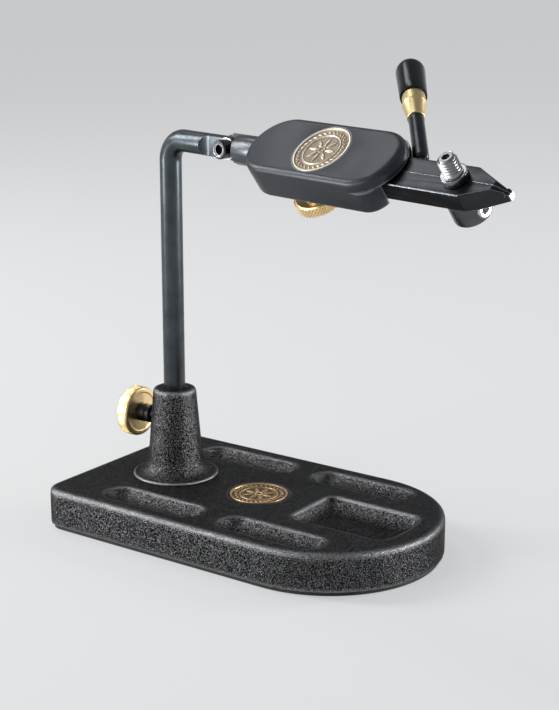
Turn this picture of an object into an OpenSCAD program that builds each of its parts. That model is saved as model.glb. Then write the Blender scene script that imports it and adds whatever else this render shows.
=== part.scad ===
// Fly tying vise on a heavy base: a bent post, a tilting and turning head, and jaws worked by a cam lever.
// The origin is on the table under the post's axis; +X points to the rounded end of the base, +Z is up.
// The head is modelled in its own frame: x along its turning axis, y across the jaws, z out of its top face.

/* [Base] */
// Width of the base
base_w = 99.4; // [92:0.2:120]
// Post axis to the square end of the base
base_back = 35.9; // [34:0.1:50]
// Post axis to the tip of the rounded end
base_front = 132.3; // [128:0.1:150]
// Thickness of the casting
base_t = 16.7; // [14:0.1:24]
// Radius of the two square-end corners
base_corner_r = 9; // [5:0.5:15]
// Rounding of the top edge
base_edge_r = 2; // [1:0.1:3]
// Thickness of the rubber sheet under the casting
pad_t = 1.6; // [1:0.1:3]
// Set-back of the rubber sheet from the casting's edge
pad_inset = 1.5; // [1:0.1:4]
// Length of each long pocket
pocket_len = 51; // [40:0.5:52]
// Width of each long pocket
pocket_w = 14.6; // [10:0.1:15]
// Depth of each long pocket
pocket_depth = 5; // [3:0.1:7]
// Edge of the casting to the edge of a long pocket
pocket_margin = 7.9; // [6:0.1:9]
// Square end to the start of the first pocket
pocket_inset = 26; // [20:0.5:27]
// Metal between the two pockets of a row
pocket_gap = 11; // [8:0.5:12]
// Length of the wide dish
dish_len = 48.2; // [40:0.1:50]
// Width of the wide dish
dish_w = 31.6; // [24:0.1:33]
// Depth of the wide dish
dish_depth = 5.5; // [3:0.1:8]
// Rounded end of the base to the rim of the dish
dish_margin = 10.7; // [9:0.1:13]
// Diameter of the base medallion
base_medal_d = 25.4; // [20:0.1:26]
// Post axis to the middle of the base medallion
base_medal_x = 46.3; // [45:0.1:50]

/* [Post socket] */
// Height of the socket above the casting
socket_h = 40.3; // [36:0.1:50]
// Diameter at the socket's rim
socket_top_d = 19.2; // [17:0.1:22]
// Diameter of the column above the flare
socket_d = 24.4; // [22:0.1:28]
// Diameter of the flared foot
foot_d = 38.2; // [36:0.1:42]
// Height of the clamp screw above the casting
clamp_h = 25.4; // [22:0.1:28]
// Diameter of the clamp knob
clamp_knob_d = 22.5; // [18:0.1:26]
// Thickness of the clamp knob
clamp_knob_t = 6; // [4:0.1:8]
// Post axis to the near face of the clamp knob
clamp_knob_x = 19.3; // [17:0.1:24]
// Diameter of the clamp screw's thread
clamp_screw_d = 5; // [4:0.1:6]

/* [Post] */
// Diameter of the bent post
post_d = 9.525; // [8:0.005:10]
// Height of the arm's axis above the table
arm_z = 169.4; // [140:0.1:200]
// Bend radius on the post's centre line
bend_r = 9.5; // [8:0.1:14]
// Direction of the head about the post
swivel_deg = -11; // [-180:1:180]
// Post axis to the tilt screw
tilt_x = 39.3; // [37:0.1:42]
// Thickness of the post's lap lug
lug_t = 3.4; // [2.5:0.1:4]
// Diameter of the tilt screw's thread
tilt_screw_d = 4; // [3:0.1:4.5]

/* [Head shaft] */
// Diameter of the head shaft
shaft_d = 12.6; // [11:0.1:12.8]
// Diameter of the journal that the housing turns on
journal_d = 8; // [7:0.1:9]
// Length of the journal
journal_len = 30; // [28:0.1:31]

/* [Housing] */
// Turn of the head about its own axis
roll_deg = 36; // [-180:1:180]
// Post axis to the back of the housing
house_x = 56.5; // [55.5:0.1:58.5]
// Length of the housing
house_len = 78.5; // [77:0.1:82]
// Width of the housing
house_w = 31.2; // [30:0.1:34]
// Height of the housing
house_h = 14.6; // [14.4:0.1:17]
// Rounding of the housing's top edge
house_edge_r = 2.8; // [1:0.1:3]
// Rounding of the top edge at the nose, over the jaws
nose_edge_r = 4.2; // [3:0.1:4.6]
// Diameter of the housing medallion
head_medal_d = 24.7; // [20:0.1:25]
// Back of the housing to the middle of its medallion
head_medal_back = 39.3; // [38:0.1:41]
// Back of the housing to the tension knob
tension_back = 23; // [21:0.1:23.4]
// Diameter of the tension knob
tension_knob_d = 22; // [16:0.1:24]
// Height of the tension knob's knurled rim
tension_knob_t = 5.2; // [4:0.1:7]
// Turning axis to the bottom of the tension knob
tension_drop = 22.4; // [20:0.1:26]

/* [Jaws] */
// Stop stud to the tip of the jaws
nose_ahead = 23.7; // [22:0.1:30]
// Width of one jaw
jaw_w = 7.7; // [7:0.1:8]
// Height of the jaws
jaw_h = 7.75; // [7.5:0.05:8]
// Back of the housing to the hinge pins of the jaws
jaw_pin_back = 46.5; // [45.8:0.1:47.5]
// Length of the taper at the nose
nose_len = 17.7; // [12:0.1:18]
// Width of one jaw at its tip
tip_w = 1.1; // [0.6:0.1:2]
// Height of the jaws at their tip
tip_h = 2.6; // [1.5:0.1:4]

/* [Lever] */
// Front of the housing to the lever's pivot
lever_ahead = 9; // [8:0.1:9.4]
// Backward lean of the lever at rest
lever_lean_deg = 41; // [36:1:41]
// Swing of the lever from closed to open
lever_swing_deg = 55; // [30:1:60]
// Diameter of the lever rod
lever_d = 6.1; // [5:0.1:6.4]
// Pivot to the lower end of the ferrule
ferrule_start = 41; // [36:0.1:48]
// Pivot to the lower end of the grip
grip_start = 56.2; // [54:0.1:62]
// Pivot to the end of the grip
grip_end = 79.8; // [77:0.1:95]
// Diameter of the grip
grip_d = 12; // [11:0.1:14]

/* [Stop stud] */
// Lever's pivot to the stop stud
stud_ahead = 17.4; // [15.8:0.1:20]
// Diameter of the stud's thread
stud_d = 7.7; // [6:0.1:7.9]
// Length of the stud above its collar
stud_len = 7.6; // [6:0.1:12]
// Diameter of the collar
collar_d = 10.6; // [9.5:0.1:12]
// Thickness of the collar
collar_t = 3.2; // [1.5:0.1:4]
// Diameter of the boss under the jaws
boss_d = 15; // [13:0.1:16]
// Height of the boss
boss_h = 9.8; // [9:0.1:13]

/* [Hidden] */
// Fits and small clearances
over = 1;
run_fit = 0.04;
slip = 0.05;
part_gap = 0.3;
seam_half = 0.06;
thread_slack = 0.06;

// Base
base_top = pad_t + base_t;
round_x = base_front - base_w / 2;
pocket_y = base_w / 2 - pocket_margin - pocket_w / 2;
pocket_x = pocket_inset - base_back;
dish_x = base_front - dish_margin - dish_len;
dish_corner_r = 3;
dish_steps = 6;
dish_floor_share = 0.45;
medal_t = 1.6;
medal_seat = 1.5;
medal_fit = 0.1;
medal_rise = 0.3;
medal_proud = 0.1;
bolt_d = 8;
bolt_head_d = 13;
bolt_head_h = 5;
bolt_reach = 8;
bolt_key_w = 6;
bolt_key_depth = 3;
bolt_seat_gap = 0.4;

// Post socket
socket_edge_r = 1.6;
foot_lip = 1.2;
flare_r = (foot_d - socket_d) / 2;
socket_floor = 10;
post_r = post_d / 2;
cap_t = 1.8;
cap_wall = 1.1;
cap_h = 4;
cap_lift = 0.1;
clamp_z = base_top + clamp_h;
clamp_hub_d = 8.3;
clamp_hub_gap = 0.5;
clamp_pad_t = 2;
clamp_pad_slack = 0.05;
clamp_screw_r = clamp_screw_d / 2;
clamp_bore_r = clamp_screw_r + thread_slack;
knob_bevel = 0.6;
screw_end_gap = 0.05;

// Post and lap joint, in the swivelled frame of the post
post_foot_z = base_top + socket_floor + cap_lift + cap_t;
lug_near = 2.5;
lug_far = lug_t - lug_near;
lug_r = 4.9;
lug_end_gap = 1.4;
scoop_run = 11;
lap_run = 6.6;
lap_gap = 0.1;
tongue_r = 5.6;
scoop_r = 6;
scoop_x = tilt_x - scoop_run;
lap_x = tilt_x - lap_run;
washer_t = 0.6;
washer_d = 9.4;
tilt_head_d = 8;
tilt_head_h = 4.3;
tilt_head_edge = 0.5;
tilt_key_w = 4;
tilt_key_depth = 2.2;
tilt_screw_r = tilt_screw_d / 2;

// Head shaft
shaft_r = shaft_d / 2;
shaft_start = tilt_x + lug_r + lug_end_gap;
counterbore = 2.6;
shoulder_gap = 0.1;
shoulder_x = house_x + counterbore - shoulder_gap;
journal_r = journal_d / 2;
journal_end = shoulder_x + journal_len;
bush_wall = 1.36;
bush_r = journal_r + run_fit + bush_wall;
bush_start = shoulder_x + part_gap;
bush_short = 2.2;
bush_len = journal_len - bush_short;
core_r = bush_r + slip / 2;
retainer_t = 1.6;
retainer_r = bush_r - part_gap;
retainer_screw_d = 3;
retainer_head_d = 5.4;
retainer_head_h = 1.8;
retainer_reach = 8;
retainer_key_w = 2;

// Housing
house_r = house_w / 2;
house_top = house_h / 2;
head_medal_x = house_x + head_medal_back;
tension_x = house_x + tension_back;
jaw_pin_x = house_x + jaw_pin_back;
lever_x = house_x + house_len + lever_ahead;
stud_x = lever_x + stud_ahead;
jaw_tip_x = stud_x + nose_ahead;
house_back_x = house_x + house_r;
house_front_x = house_x + house_len - house_r;
lip_overhang = 3.8;
cheek_x = house_x + house_len - lip_overhang;
cheek_r = 8;
lip_z = 2.6;
bottom_edge_r = 1.2;
nose_round_back = 6;
nose_round_r = house_r + nose_round_back;
nose_half_deg = 70;
lever_relief = 0.4;
jaw_top = 2.05;
jaw_bottom = jaw_top - jaw_h;
jaw_mid = jaw_top - jaw_h / 2;
cavity_half = 8.7;
cavity_back = 6;
cavity_x = jaw_pin_x - cavity_back;
cover_t = 1.3;
cover_gap = 0.05;
cover_offset = 6.5;
cover_front = 13.5;
cover_x = tension_x + cover_offset;
cover_end = house_x + house_len - cover_front;
cover_half = 13.2;
cover_z = -house_top + cover_t;
cover_screw_d = 2;
cover_screw_len = 5;
cover_screw_head_d = 3.6;
cover_screw_head_h = 0.8;
cover_screw_inset = 3;
cover_screw_y = (cavity_half + cover_half) / 2;
spring_offset = 10;
spring_x = jaw_pin_x + spring_offset;
spring_hole_r = 2.9;
spring_seat = 13.3;
spring_cup = 2.9;

// Tension knob
tension_stem_d = 5;
tension_stem_r = tension_stem_d / 2;
tension_neck_d = 12;
tension_neck_gap = 1.2;
friction_pad_t = 2.4;
tension_stem_end = -(journal_r + friction_pad_t + 3 * screw_end_gap);

// Jaws, pins and springs
jaw_tail = 4.5;
jaw_back_x = jaw_pin_x - jaw_tail;
jaw_pin_y = 4.2;
jaw_pin_r = 1.5;
jaw_pin_top = 5.4;
tail_relief = 0.6;
tail_relief_run = 2;
tail_relief_x = jaw_pin_x + tail_relief_run;
tail_round_r = 2;
nose_x = jaw_tip_x - nose_len;
nose_top_len = 6.9;
nose_bottom_len = 12.5;
nose_top_x = jaw_tip_x - nose_top_len;
nose_bottom_x = jaw_tip_x - nose_bottom_len;
tip_mid = -2.3;
nose_face_back = 0.9;
nose_face_turn_deg = 4.6;
nose_face_tilt_deg = 24.3;
jaw_edge = 0.35;
spring_wire_d = 0.7;
spring_d = 5;
spring_turns = 5;
spring_steps = 8;
spring_sides = 6;
spring_end_gap = 0.35;
spring_from = jaw_w - spring_cup + spring_end_gap;
spring_len = spring_seat - slip - spring_from;
coil_self_gap = (spring_len - spring_wire_d) / spring_turns - spring_wire_d;
echo(coil_self_gap = coil_self_gap);

// Yoke, cam and lever, about the lever's pivot
yoke_t = 1.8;
yoke_half_w = 1.6;
yoke_plug_t = 2.5;
yoke_eye_r = 2;
cam_pin_r = 0.8;
cam_r = 3.4;
cam_half = 1.35;
cam_h = 5.6;
slot_bulge_share = 1.2;
cam_gap = 0.12;
pocket_end_gap = 0.35;
yoke_gap = 0.05;
yoke_side_gap = 0.25;
neck_r = 1.6;
neck_gap = 0.3;
neck_front_gap = 0.9;
neck_seat = 0.3;
neck_end = 13.5;
lever_r = lever_d / 2;
ferrule_d1 = 7.2;
ferrule_d2 = 9.7;
ferrule_d3 = 9.4;
ferrule_band = 5.5;
grip_edge_r = 0.6;
grip_taper = 0.5;
rod_seat = 4;
lever_deg = 90 + lever_lean_deg;
window_deg = lever_deg - lever_swing_deg;

// Stop stud, carried by the near jaw
stud_r = stud_d / 2;
stud_slack = 0.06;
stud_open_gap = 0.35;
stud_edge = 1.25;
stud_key_w = 3;
stud_key_depth = 3.5;
stud_foot = 2;
seat_gap = 0.05;
boss_edge_r = 1.2;
boss_screw_d = 4.9;
boss_screw_head_d = 7.2;
boss_screw_head_h = 2.8;
boss_screw_key_w = 4;
boss_screw_key_depth = 1.8;
boss_screw_drop = 5.3;
boss_screw_proud = 0.3;
boss_screw_out = boss_d / 2 + boss_screw_proud;

$fn = 96;

// Shared shapes

// Half profile of a slab whose top edge is rounded: half width r, height h, rounding e
module edge_profile(r, h, e) {
    square([r - e, h]);
    square([r, h - e]);
    translate([r - e, h - e]) intersection() {
        circle(e);
        square([e, e]);
    }
}

// Full profile of the same slab, from -r to r
module slab_profile(r, h, e) {
    edge_profile(r, h, e);
    mirror([1, 0]) edge_profile(r, h, e);
}

// Disc with a rounded top edge
module round_disc(r, h, e) {
    rotate_extrude() edge_profile(r, h, e);
}

// Cylinder from a to b along +X, at any height along the head's or the post's axis
module rod_x(a, b, r) {
    translate([a, 0, 0]) rotate([0, 90, 0]) cylinder(h = b - a, r = r);
}

// Six-sided key socket, w across its flats, cut downwards from z = 0
module key_socket(w, depth) {
    translate([0, 0, -depth]) cylinder(h = depth + over, d = w / cos(180 / 6), $fn = 6);
}

// Turned knob from z = 0 to t with both rims bevelled
module knob_blank(d, t, e, bore_r) {
    rotate_extrude() polygon([[bore_r, 0], [d / 2 - e, 0], [d / 2, e], [d / 2, t - e], [d / 2 - e, t],
        [bore_r, t]]);
}

// The post's frame turns about the post; the head's frame also turns about its own axis
module post_frame() {
    rotate([0, 0, swivel_deg]) children();
}

module head_frame() {
    translate([0, 0, arm_z]) rotate([0, 0, swivel_deg]) rotate([roll_deg, 0, 0]) children();
}

module arm_frame() {
    translate([0, 0, arm_z]) rotate([0, 0, swivel_deg]) children();
}

module lever_frame() {
    head_frame() translate([lever_x, 0, jaw_mid]) rotate([0, 0, lever_deg]) children();
}

// Base

// Outline of the base as a solid slab from z = 0 to h, with its top edge rounded
module base_slab(w, back, front, h, corner_r, e) {
    r = w / 2;
    mid_x = front - r;
    translate([mid_x, 0, 0]) round_disc(r, h, e);
    for (side = [-1, 1]) translate([corner_r - back, side * (r - corner_r), 0]) round_disc(corner_r, h, e);
    translate([corner_r - back, 0, 0]) rotate([90, 0, 90])
        linear_extrude(mid_x + back - corner_r) slab_profile(r, h, e);
    translate([0, r - corner_r, 0]) rotate([90, 0, 0]) linear_extrude(w - 2 * corner_r)
        translate([corner_r - back, 0]) mirror([1, 0]) edge_profile(corner_r, h, e);
}

// Long pocket with a round bottom and round ends, cut from z = 0 downwards
module trough(len, w, depth) {
    r = (w * w / 4 + depth * depth) / (2 * depth);
    rim = w / 2;
    run = len - 2 * rim;
    translate([rim, 0, r - depth]) rotate([0, 90, 0]) rotate_extrude() {
        square([r, run]);
        for (x = [0, run]) translate([0, x]) intersection() {
            circle(r);
            translate([0, -r]) square([r, 2 * r]);
        }
    }
}

// Rim of the wide dish, drawn in by inset
module dish_rim(inset) {
    offset(r = dish_corner_r, $fn = 32) offset(delta = -dish_corner_r) intersection() {
        translate([round_x, 0]) circle(base_w / 2 - dish_margin - inset);
        translate([dish_x + inset, inset - dish_w / 2]) square([dish_len, dish_w - 2 * inset]);
    }
}

// Wide dish with soft sloping walls
module dish() {
    reach = dish_floor_share * dish_w / 2;
    hull() for (i = [0 : dish_steps]) {
        a = 90 * i / dish_steps;
        translate([0, 0, -dish_depth * sin(a)]) linear_extrude(over) dish_rim(reach * (1 - cos(a)));
    }
}

module base_casting() {
    color([0.13, 0.13, 0.14]) difference() {
        translate([0, 0, pad_t]) base_slab(base_w, base_back, base_front, base_t, base_corner_r, base_edge_r);
        translate([0, 0, base_top]) {
            for (side = [-1, 1], i = [0, 1])
                translate([pocket_x + i * (pocket_len + pocket_gap), side * pocket_y, 0])
                    trough(pocket_len, pocket_w, pocket_depth);
            dish();
            translate([base_medal_x, 0, -medal_seat]) cylinder(h = medal_seat + over, d = base_medal_d + 2 * medal_fit);
        }
        translate([0, 0, -over]) cylinder(h = base_top + 2 * over, d = bolt_d + bolt_seat_gap);
        translate([0, 0, -over]) cylinder(h = over + pad_t + bolt_head_h + bolt_seat_gap, d = bolt_head_d + 2 * bolt_seat_gap);
    }
}

module base_pad() {
    color([0.09, 0.09, 0.09]) linear_extrude(pad_t) union() {
        translate([round_x, 0]) circle(base_w / 2 - pad_inset);
        for (side = [-1, 1]) translate([base_corner_r - base_back, side * (base_w / 2 - base_corner_r)])
            circle(base_corner_r - pad_inset);
        translate([base_corner_r - base_back, pad_inset - base_w / 2])
            square([round_x + base_back - base_corner_r, base_w - 2 * pad_inset]);
        translate([pad_inset - base_back, base_corner_r - base_w / 2])
            square([base_corner_r, base_w - 2 * base_corner_r]);
    }
}

module base_medallion() {
    color([0.62, 0.48, 0.3]) translate([base_medal_x, 0, base_top - medal_seat])
        cylinder(h = medal_t, d = base_medal_d);
}

// Socket bolt, its head in the casting's underside
module socket_bolt() {
    head_z = pad_t + bolt_seat_gap;
    color([0.35, 0.35, 0.37]) difference() {
        translate([0, 0, head_z]) union() {
            cylinder(h = bolt_head_h, d = bolt_head_d);
            cylinder(h = base_top + bolt_reach - head_z, d = bolt_d);
        }
        translate([0, 0, head_z]) mirror([0, 0, 1]) key_socket(bolt_key_w, bolt_key_depth);
    }
}

// Half profile of the socket: tapered column, rounded rim and flared foot
module socket_profile() {
    r_top = socket_top_d / 2;
    flare_top = foot_lip + flare_r;
    polygon([[0, 0], [socket_d / 2, 0], [socket_d / 2, flare_top], [r_top, socket_h - socket_edge_r],
        [0, socket_h - socket_edge_r]]);
    square([r_top - socket_edge_r, socket_h]);
    translate([r_top - socket_edge_r, socket_h - socket_edge_r]) intersection() {
        circle(socket_edge_r);
        square(socket_edge_r);
    }
    square([foot_d / 2, foot_lip]);
    difference() {
        square([foot_d / 2, flare_top]);
        translate([foot_d / 2, flare_top]) circle(flare_r);
    }
}

module post_socket() {
    color([0.14, 0.14, 0.15]) translate([0, 0, base_top]) difference() {
        rotate_extrude() socket_profile();
        translate([0, 0, socket_floor]) cylinder(h = socket_h, r = post_r + slip);
        translate([0, 0, -over]) cylinder(h = bolt_reach + 2 * over, d = bolt_d + 2 * thread_slack);
        translate([0, 0, clamp_h]) rod_x(-socket_d, 0, clamp_bore_r);
    }
}

// Clamp screw, in line with the socket's side hole

module clamp_pad() {
    color([0.72, 0.58, 0.3]) translate([0, 0, clamp_z])
        rod_x(-(post_r + clamp_pad_slack + clamp_pad_t), -(post_r + clamp_pad_slack), clamp_screw_r);
}

module clamp_screw() {
    tip_x = post_r + clamp_pad_slack + clamp_pad_t + screw_end_gap;
    hub_x = socket_d / 2 + clamp_hub_gap;
    color([0.1, 0.1, 0.1]) translate([0, 0, clamp_z]) {
        rod_x(-(clamp_knob_x + clamp_knob_t), -tip_x, clamp_screw_r);
        rod_x(-clamp_knob_x, -hub_x, clamp_hub_d / 2);
    }
}

module clamp_knob() {
    color([0.8, 0.62, 0.32]) translate([-clamp_knob_x, 0, clamp_z]) rotate([0, -90, 0])
        knob_blank(clamp_knob_d, clamp_knob_t, knob_bevel, clamp_screw_r);
}

// Post, bent over to carry the head

module post_end_cap() {
    color([0.2, 0.2, 0.2]) translate([0, 0, post_foot_z - cap_t]) difference() {
        cylinder(h = cap_t + cap_h, r = post_r);
        translate([0, 0, cap_t]) cylinder(h = cap_h + over, r = post_r - cap_wall + run_fit);
    }
}

// Lug of the lap joint: the arm's near half stays, its far half is cut away for the head shaft's tongue
module post() {
    color([0.07, 0.07, 0.08]) post_frame() {
        translate([0, 0, post_foot_z + slip]) cylinder(h = cap_h + over, r = post_r - cap_wall);
        translate([0, 0, post_foot_z + cap_h + slip]) cylinder(h = arm_z - bend_r - post_foot_z - cap_h - slip, r = post_r);
        translate([bend_r, 0, arm_z - bend_r]) rotate([90, 0, 0]) rotate([0, 0, 90])
            rotate_extrude(angle = 90) translate([bend_r, 0]) circle(post_r);
        translate([0, 0, arm_z]) difference() {
            intersection() {
                rod_x(bend_r, tilt_x + lug_r, post_r);
                union() {
                    translate([0, -post_d, -post_d]) cube([lap_x, 2 * post_d, 2 * post_d]);
                    translate([lap_x, -lug_near, -post_d]) cube([tilt_x - lap_x, lug_t, 2 * post_d]);
                    translate([tilt_x, lug_far, 0]) rotate([90, 0, 0]) cylinder(h = lug_t, r = lug_r);
                }
            }
            translate([scoop_x, -lug_near - scoop_r, -post_d]) {
                cylinder(h = 2 * post_d, r = scoop_r);
                cube([tilt_x, scoop_r, 2 * post_d]);
            }
            translate([tilt_x, lug_t, 0]) rotate([90, 0, 0]) cylinder(h = 2 * lug_t + over, r = tilt_screw_r + run_fit);
        }
    }
}

module tilt_washer() {
    color([0.6, 0.6, 0.62]) arm_frame() translate([tilt_x, -lug_near, 0]) rotate([90, 0, 0]) difference() {
        cylinder(h = washer_t, d = washer_d);
        translate([0, 0, -over]) cylinder(h = washer_t + 2 * over, r = tilt_screw_r + run_fit);
    }
}

module tilt_screw() {
    color([0.3, 0.3, 0.32]) arm_frame() translate([tilt_x, -lug_near - washer_t, 0]) rotate([90, 0, 0]) {
        difference() {
            round_disc(tilt_head_d / 2, tilt_head_h, tilt_head_edge);
            translate([0, 0, tilt_head_h]) key_socket(tilt_key_w, tilt_key_depth);
        }
        translate([0, 0, -(washer_t + lug_near + shaft_r)]) cylinder(h = washer_t + lug_near + shaft_r, r = tilt_screw_r);
    }
}

// Head shaft: tongue of the lap joint, full shaft, and the journal inside the housing
module head_shaft() {
    color([0.09, 0.09, 0.1]) arm_frame() difference() {
        union() {
            intersection() {
                rod_x(tilt_x - tongue_r, shaft_start + over, shaft_r);
                union() {
                    translate([tilt_x, lug_far + lap_gap, -shaft_d]) cube([shaft_d, shaft_d, 2 * shaft_d]);
                    translate([tilt_x, lug_far + lap_gap + shaft_d, 0]) rotate([90, 0, 0])
                        cylinder(h = shaft_d, r = tongue_r);
                }
            }
            rod_x(shaft_start, shoulder_x, shaft_r);
            rod_x(shoulder_x, journal_end, journal_r);
        }
        translate([tilt_x, 2 * shaft_d, 0]) rotate([90, 0, 0]) cylinder(h = 3 * shaft_d, r = tilt_screw_r + thread_slack);
        rod_x(journal_end - retainer_reach - slip, journal_end + over, retainer_screw_d / 2 + thread_slack);
    }
}

module shaft_retainer() {
    color([0.55, 0.56, 0.58]) arm_frame() difference() {
        rod_x(journal_end, journal_end + retainer_t, retainer_r);
        rod_x(journal_end - over, journal_end + retainer_t + over, retainer_screw_d / 2 + thread_slack);
    }
}

module retainer_screw() {
    head_x = journal_end + retainer_t;
    color([0.3, 0.3, 0.32]) arm_frame() difference() {
        union() {
            rod_x(head_x, head_x + retainer_head_h, retainer_head_d / 2);
            rod_x(journal_end - retainer_reach, head_x, retainer_screw_d / 2);
        }
        translate([head_x + retainer_head_h, 0, 0]) rotate([0, 90, 0]) key_socket(retainer_key_w, retainer_head_h / 2);
    }
}

// Head housing

module shaft_bushing() {
    color([0.7, 0.5, 0.3]) head_frame() difference() {
        rod_x(bush_start, bush_start + bush_len, bush_r);
        rod_x(bush_start - over, bush_start + bush_len + over, journal_r + run_fit);
        translate([tension_x, 0, -2 * bush_r]) cylinder(h = 2 * bush_r, r = tension_stem_r + thread_slack);
    }
}

// Upper part of the housing: a round-ended slab with a rounded top edge
module house_upper() {
    h = house_top - lip_z;
    translate([0, 0, lip_z]) {
        for (x = [house_back_x, house_front_x]) translate([x, 0, 0]) round_disc(house_r, h, house_edge_r);
        translate([house_back_x, 0, 0]) rotate([90, 0, 90])
            linear_extrude(house_front_x - house_back_x) slab_profile(house_r, h, house_edge_r);
    }
}

// Lower part: the cheeks beside the jaws end in rounded corners behind the lip
module house_lower() {
    h = house_top + lip_z;
    corner_y = house_r - cheek_r;
    corner_x = cheek_x - cheek_r;
    translate([0, 0, lip_z]) mirror([0, 0, 1]) {
        translate([house_back_x, 0, 0]) round_disc(house_r, h, bottom_edge_r);
        translate([house_back_x, 0, 0]) rotate([90, 0, 90])
            linear_extrude(corner_x - house_back_x) slab_profile(house_r, h, bottom_edge_r);
        for (side = [-1, 1]) translate([corner_x, side * corner_y, 0]) round_disc(cheek_r, h, bottom_edge_r);
        translate([corner_x, corner_y, 0]) rotate([90, 0, 0]) linear_extrude(2 * corner_y) edge_profile(cheek_r, h, bottom_edge_r);
    }
}

module cover_outline(inset) {
    translate([cover_x + inset, inset - cover_half]) square([cover_end - cover_x - 2 * inset, 2 * (cover_half - inset)]);
}

// Places of the four cover screws
module at_cover_screws() {
    for (x = [cover_x + cover_screw_inset, cover_end - cover_screw_inset], side = [-1, 1])
        translate([x, side * cover_screw_y, 0]) children();
}

module head_housing() {
    color([0.33, 0.34, 0.36]) head_frame() difference() {
        union() {
            house_upper();
            house_lower();
        }
        // Bore for the head shaft's shoulder and the bushing
        rod_x(house_x - over, house_x + counterbore, shaft_r + 2 * run_fit);
        rod_x(house_x, cavity_x + over, core_r);
        // Room for the jaws, open in front and below
        translate([cavity_x, -cavity_half, -house_h]) cube([house_len, 2 * cavity_half, house_h + jaw_top + part_gap]);
        translate([cavity_x - over, -core_r, -house_h]) cube([2 * over, 2 * core_r, house_h]);
        // Seat of the cover
        translate([0, 0, -house_h]) linear_extrude(house_h + cover_z) cover_outline(-cover_gap);
        at_cover_screws() translate([0, 0, cover_z - over]) cylinder(h = cover_screw_len + over, d = cover_screw_d + 2 * thread_slack);
        // Seats of the jaw pins and springs
        for (side = [-1, 1]) {
            translate([jaw_pin_x, side * jaw_pin_y, 0]) cylinder(h = jaw_pin_top + slip, r = jaw_pin_r + slip / 2);
            translate([spring_x, side * (cavity_half - over), jaw_mid]) rotate([-side * 90, 0, 0])
                cylinder(h = spring_seat - cavity_half + over, r = spring_hole_r);
        }
        // Threaded hole of the tension screw
        translate([tension_x, 0, -house_h]) cylinder(h = house_h, r = tension_stem_r + thread_slack);
        // Seat of the medallion
        translate([head_medal_x, 0, house_top - medal_seat + medal_rise]) cylinder(h = medal_seat + over, d = head_medal_d + 2 * medal_fit);
        // Wider rounding over the jaws
        translate([house_front_x - nose_round_back, 0, house_top - nose_edge_r]) rotate([0, 0, -nose_half_deg])
            rotate_extrude(angle = 2 * nose_half_deg) translate([nose_round_r - nose_edge_r, 0]) difference() {
                square(nose_edge_r + over);
                circle(nose_edge_r);
            }
        // Scallop in the far cheek behind the lever
        translate([lever_x, 0, jaw_mid]) rotate([0, 0, lever_deg]) rod_x(neck_end - over, house_w, lever_r + lever_relief);
    }
}
module housing_medallion() {
    color([0.75, 0.66, 0.46]) head_frame() translate([head_medal_x, 0, house_top - medal_seat + medal_rise])
        cylinder(h = medal_seat - medal_rise + medal_proud, d = head_medal_d);
}

module housing_cover() {
    color([0.3, 0.31, 0.33]) head_frame() difference() {
        translate([0, 0, -house_top]) linear_extrude(cover_t) cover_outline(0);
        at_cover_screws() {
            translate([0, 0, -house_h]) cylinder(h = house_h, d = cover_screw_d + 2 * thread_slack);
            translate([0, 0, -house_h]) cylinder(h = house_h - house_top + cover_screw_head_h, d = cover_screw_head_d + 2 * thread_slack);
        }
    }
}

module cover_screws() {
    color([0.5, 0.5, 0.52]) head_frame() at_cover_screws() translate([0, 0, -house_top]) {
        cylinder(h = cover_screw_head_h, d = cover_screw_head_d);
        cylinder(h = cover_t + cover_screw_len - slip, d = cover_screw_d);
    }
}

// Tension knob under the housing

module friction_pad() {
    color([0.85, 0.85, 0.8]) head_frame() translate([tension_x, 0, -(journal_r + screw_end_gap + friction_pad_t)])
        cylinder(h = friction_pad_t, r = tension_stem_r);
}

module tension_screw() {
    color([0.5, 0.5, 0.52]) head_frame() translate([tension_x, 0, -tension_drop + knob_bevel])
        cylinder(h = tension_stem_end + tension_drop - knob_bevel, r = tension_stem_r);
}

module tension_knob() {
    rim = tension_drop - tension_knob_t;
    neck_top = -(house_top + tension_neck_gap);
    color([0.82, 0.64, 0.34]) head_frame() translate([tension_x, 0, 0]) {
        translate([0, 0, -tension_drop]) knob_blank(tension_knob_d, tension_knob_t, knob_bevel, tension_stem_r);
        translate([0, 0, -rim]) difference() {
            cylinder(h = rim + neck_top, d = tension_neck_d);
            translate([0, 0, -over]) cylinder(h = rim + 2 * over, r = tension_stem_r);
        }
    }
}

// Jaw hinge pins and closing springs

module jaw_pins() {
    color([0.6, 0.6, 0.62]) head_frame() for (side = [-1, 1])
        translate([jaw_pin_x, side * jaw_pin_y, cover_z]) cylinder(h = jaw_pin_top - cover_z, r = jaw_pin_r);
}

// Points of one ring of the spring's wire at share t of its length
function coil_ring(t, len) = let(a = 360 * spring_turns * t, r = (spring_d - spring_wire_d) / 2)
    [for (k = [0 : spring_sides - 1]) let(b = 360 * k / spring_sides, q = r + spring_wire_d / 2 * cos(b))
        [q * cos(a), q * sin(a), spring_wire_d / 2 + (len - spring_wire_d) * t + spring_wire_d / 2 * sin(b)]];

// Compression spring from z = 0 to len as one unbroken tube
module coil(len) {
    n = spring_turns * spring_steps;
    m = spring_sides;
    points = [for (i = [0 : n]) each coil_ring(i / n, len)];
    sides = [for (i = [0 : n - 1], k = [0 : m - 1]) let(a = i * m + k, b = i * m + (k + 1) % m) each
        [[a, a + m, b], [b, a + m, b + m]]];
    first = [for (k = [1 : m - 2]) [0, k, k + 1]];
    last = [for (k = [1 : m - 2]) [n * m, n * m + k + 1, n * m + k]];
    polyhedron(points, concat(sides, first, last));
}
module side_spring(side) {
    color([0.7, 0.7, 0.72]) head_frame() translate([spring_x, side * spring_from, jaw_mid]) rotate([-side * 90, 0, 0])
        coil(spring_len);
}

module near_spring() {
    side_spring(-1);
}

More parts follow.
